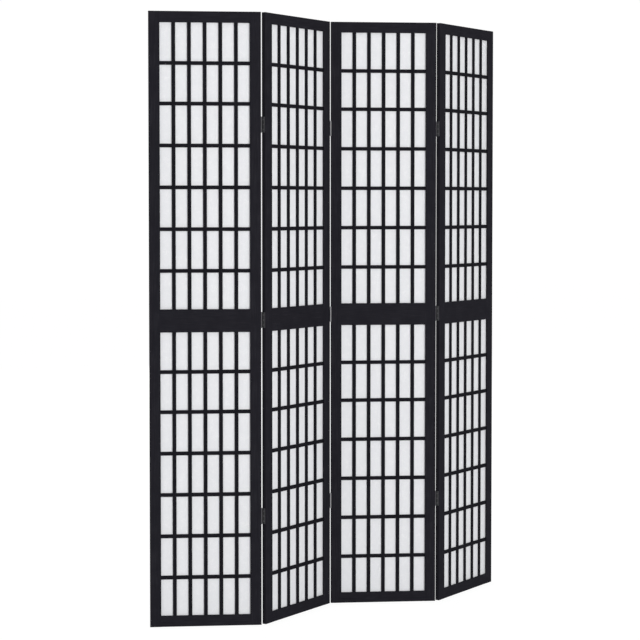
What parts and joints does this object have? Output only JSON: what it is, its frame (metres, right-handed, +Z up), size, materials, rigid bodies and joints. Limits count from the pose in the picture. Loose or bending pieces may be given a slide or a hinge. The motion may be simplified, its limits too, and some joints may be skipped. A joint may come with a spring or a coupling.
{
  "type": "shoji folding screen",
  "caption": "Folding screen of tall hinged panels, each a black wooden frame with a rail across the middle and black lattice on both sides of white paper; it stands in a zigzag.",
  "frame": {"origin": "on the floor, under the middle of the box that holds the standing screen", "axes": "+X along the row of panels to the viewer's right, +Y to the back, +Z up; the front faces -Y"},
  "size_m": [1.4918, 0.1808, 2.2],
  "materials": {
    "stile_wood": "black satin lacquer over fine grain",
    "rail_wood": "black satin lacquer over fine grain",
    "lattice_wood": "black satin lacquer",
    "paper": "white translucent fibre paper, matt",
    "hinge_steel": "dulled nickel plating, satin",
    "screw_steel": "dulled nickel plating, satin"
  },
  "bodies": {
    "panel_1": {"panel_1_left_stile": "stile_wood", "panel_1_right_stile": "stile_wood", "panel_1_top_rail": "rail_wood", "panel_1_middle_rail": "rail_wood", "panel_1_bottom_rail": "rail_wood", "panel_1_upper_front_lattice": "lattice_wood", "panel_1_upper_back_lattice": "lattice_wood", "panel_1_upper_paper": "paper", "panel_1_lower_front_lattice": "lattice_wood", "panel_1_lower_back_lattice": "lattice_wood", "panel_1_lower_paper": "paper", "fold_1_left_leaves": "hinge_steel", "fold_1_left_screws": "screw_steel", "fold_1_pins": "hinge_steel"},
    "panel_2": {"panel_2_left_stile": "stile_wood", "panel_2_right_stile": "stile_wood", "panel_2_top_rail": "rail_wood", "panel_2_middle_rail": "rail_wood", "panel_2_bottom_rail": "rail_wood", "panel_2_upper_front_lattice": "lattice_wood", "panel_2_upper_back_lattice": "lattice_wood", "panel_2_upper_paper": "paper", "panel_2_lower_front_lattice": "lattice_wood", "panel_2_lower_back_lattice": "lattice_wood", "panel_2_lower_paper": "paper", "fold_1_right_leaves": "hinge_steel", "fold_1_right_screws": "screw_steel", "fold_2_left_leaves": "hinge_steel", "fold_2_left_screws": "screw_steel"},
    "panel_3": {"panel_3_left_stile": "stile_wood", "panel_3_right_stile": "stile_wood", "panel_3_top_rail": "rail_wood", "panel_3_middle_rail": "rail_wood", "panel_3_bottom_rail": "rail_wood", "panel_3_upper_front_lattice": "lattice_wood", "panel_3_upper_back_lattice": "lattice_wood", "panel_3_upper_paper": "paper", "panel_3_lower_front_lattice": "lattice_wood", "panel_3_lower_back_lattice": "lattice_wood", "panel_3_lower_paper": "paper", "fold_2_right_leaves": "hinge_steel", "fold_2_right_screws": "screw_steel", "fold_3_left_leaves": "hinge_steel", "fold_3_left_screws": "screw_steel", "fold_2_pins": "hinge_steel", "fold_3_pins": "hinge_steel"},
    "panel_4": {"panel_4_left_stile": "stile_wood", "panel_4_right_stile": "stile_wood", "panel_4_top_rail": "rail_wood", "panel_4_middle_rail": "rail_wood", "panel_4_bottom_rail": "rail_wood", "panel_4_upper_front_lattice": "lattice_wood", "panel_4_upper_back_lattice": "lattice_wood", "panel_4_upper_paper": "paper", "panel_4_lower_front_lattice": "lattice_wood", "panel_4_lower_back_lattice": "lattice_wood", "panel_4_lower_paper": "paper", "fold_3_right_leaves": "hinge_steel", "fold_3_right_screws": "screw_steel"}
  },
  "joints": [
    {"name": "fold_1", "type": "hinge", "parent": "panel_1", "child": "panel_2", "pos_m": [-0.3741, -0.07527, 1.1], "axis": [0, 0, 1], "range_deg": [-49.3, 130.7]},
    {"name": "fold_2", "type": "hinge", "parent": "panel_2", "child": "panel_3", "pos_m": [0, 0.07527, 1.1], "axis": [0, 0, -1], "range_deg": [-49.3, 130.7]},
    {"name": "fold_3", "type": "hinge", "parent": "panel_3", "child": "panel_4", "pos_m": [0.3741, -0.07527, 1.1], "axis": [0, 0, 1], "range_deg": [-49.3, 130.7]}
  ]
}
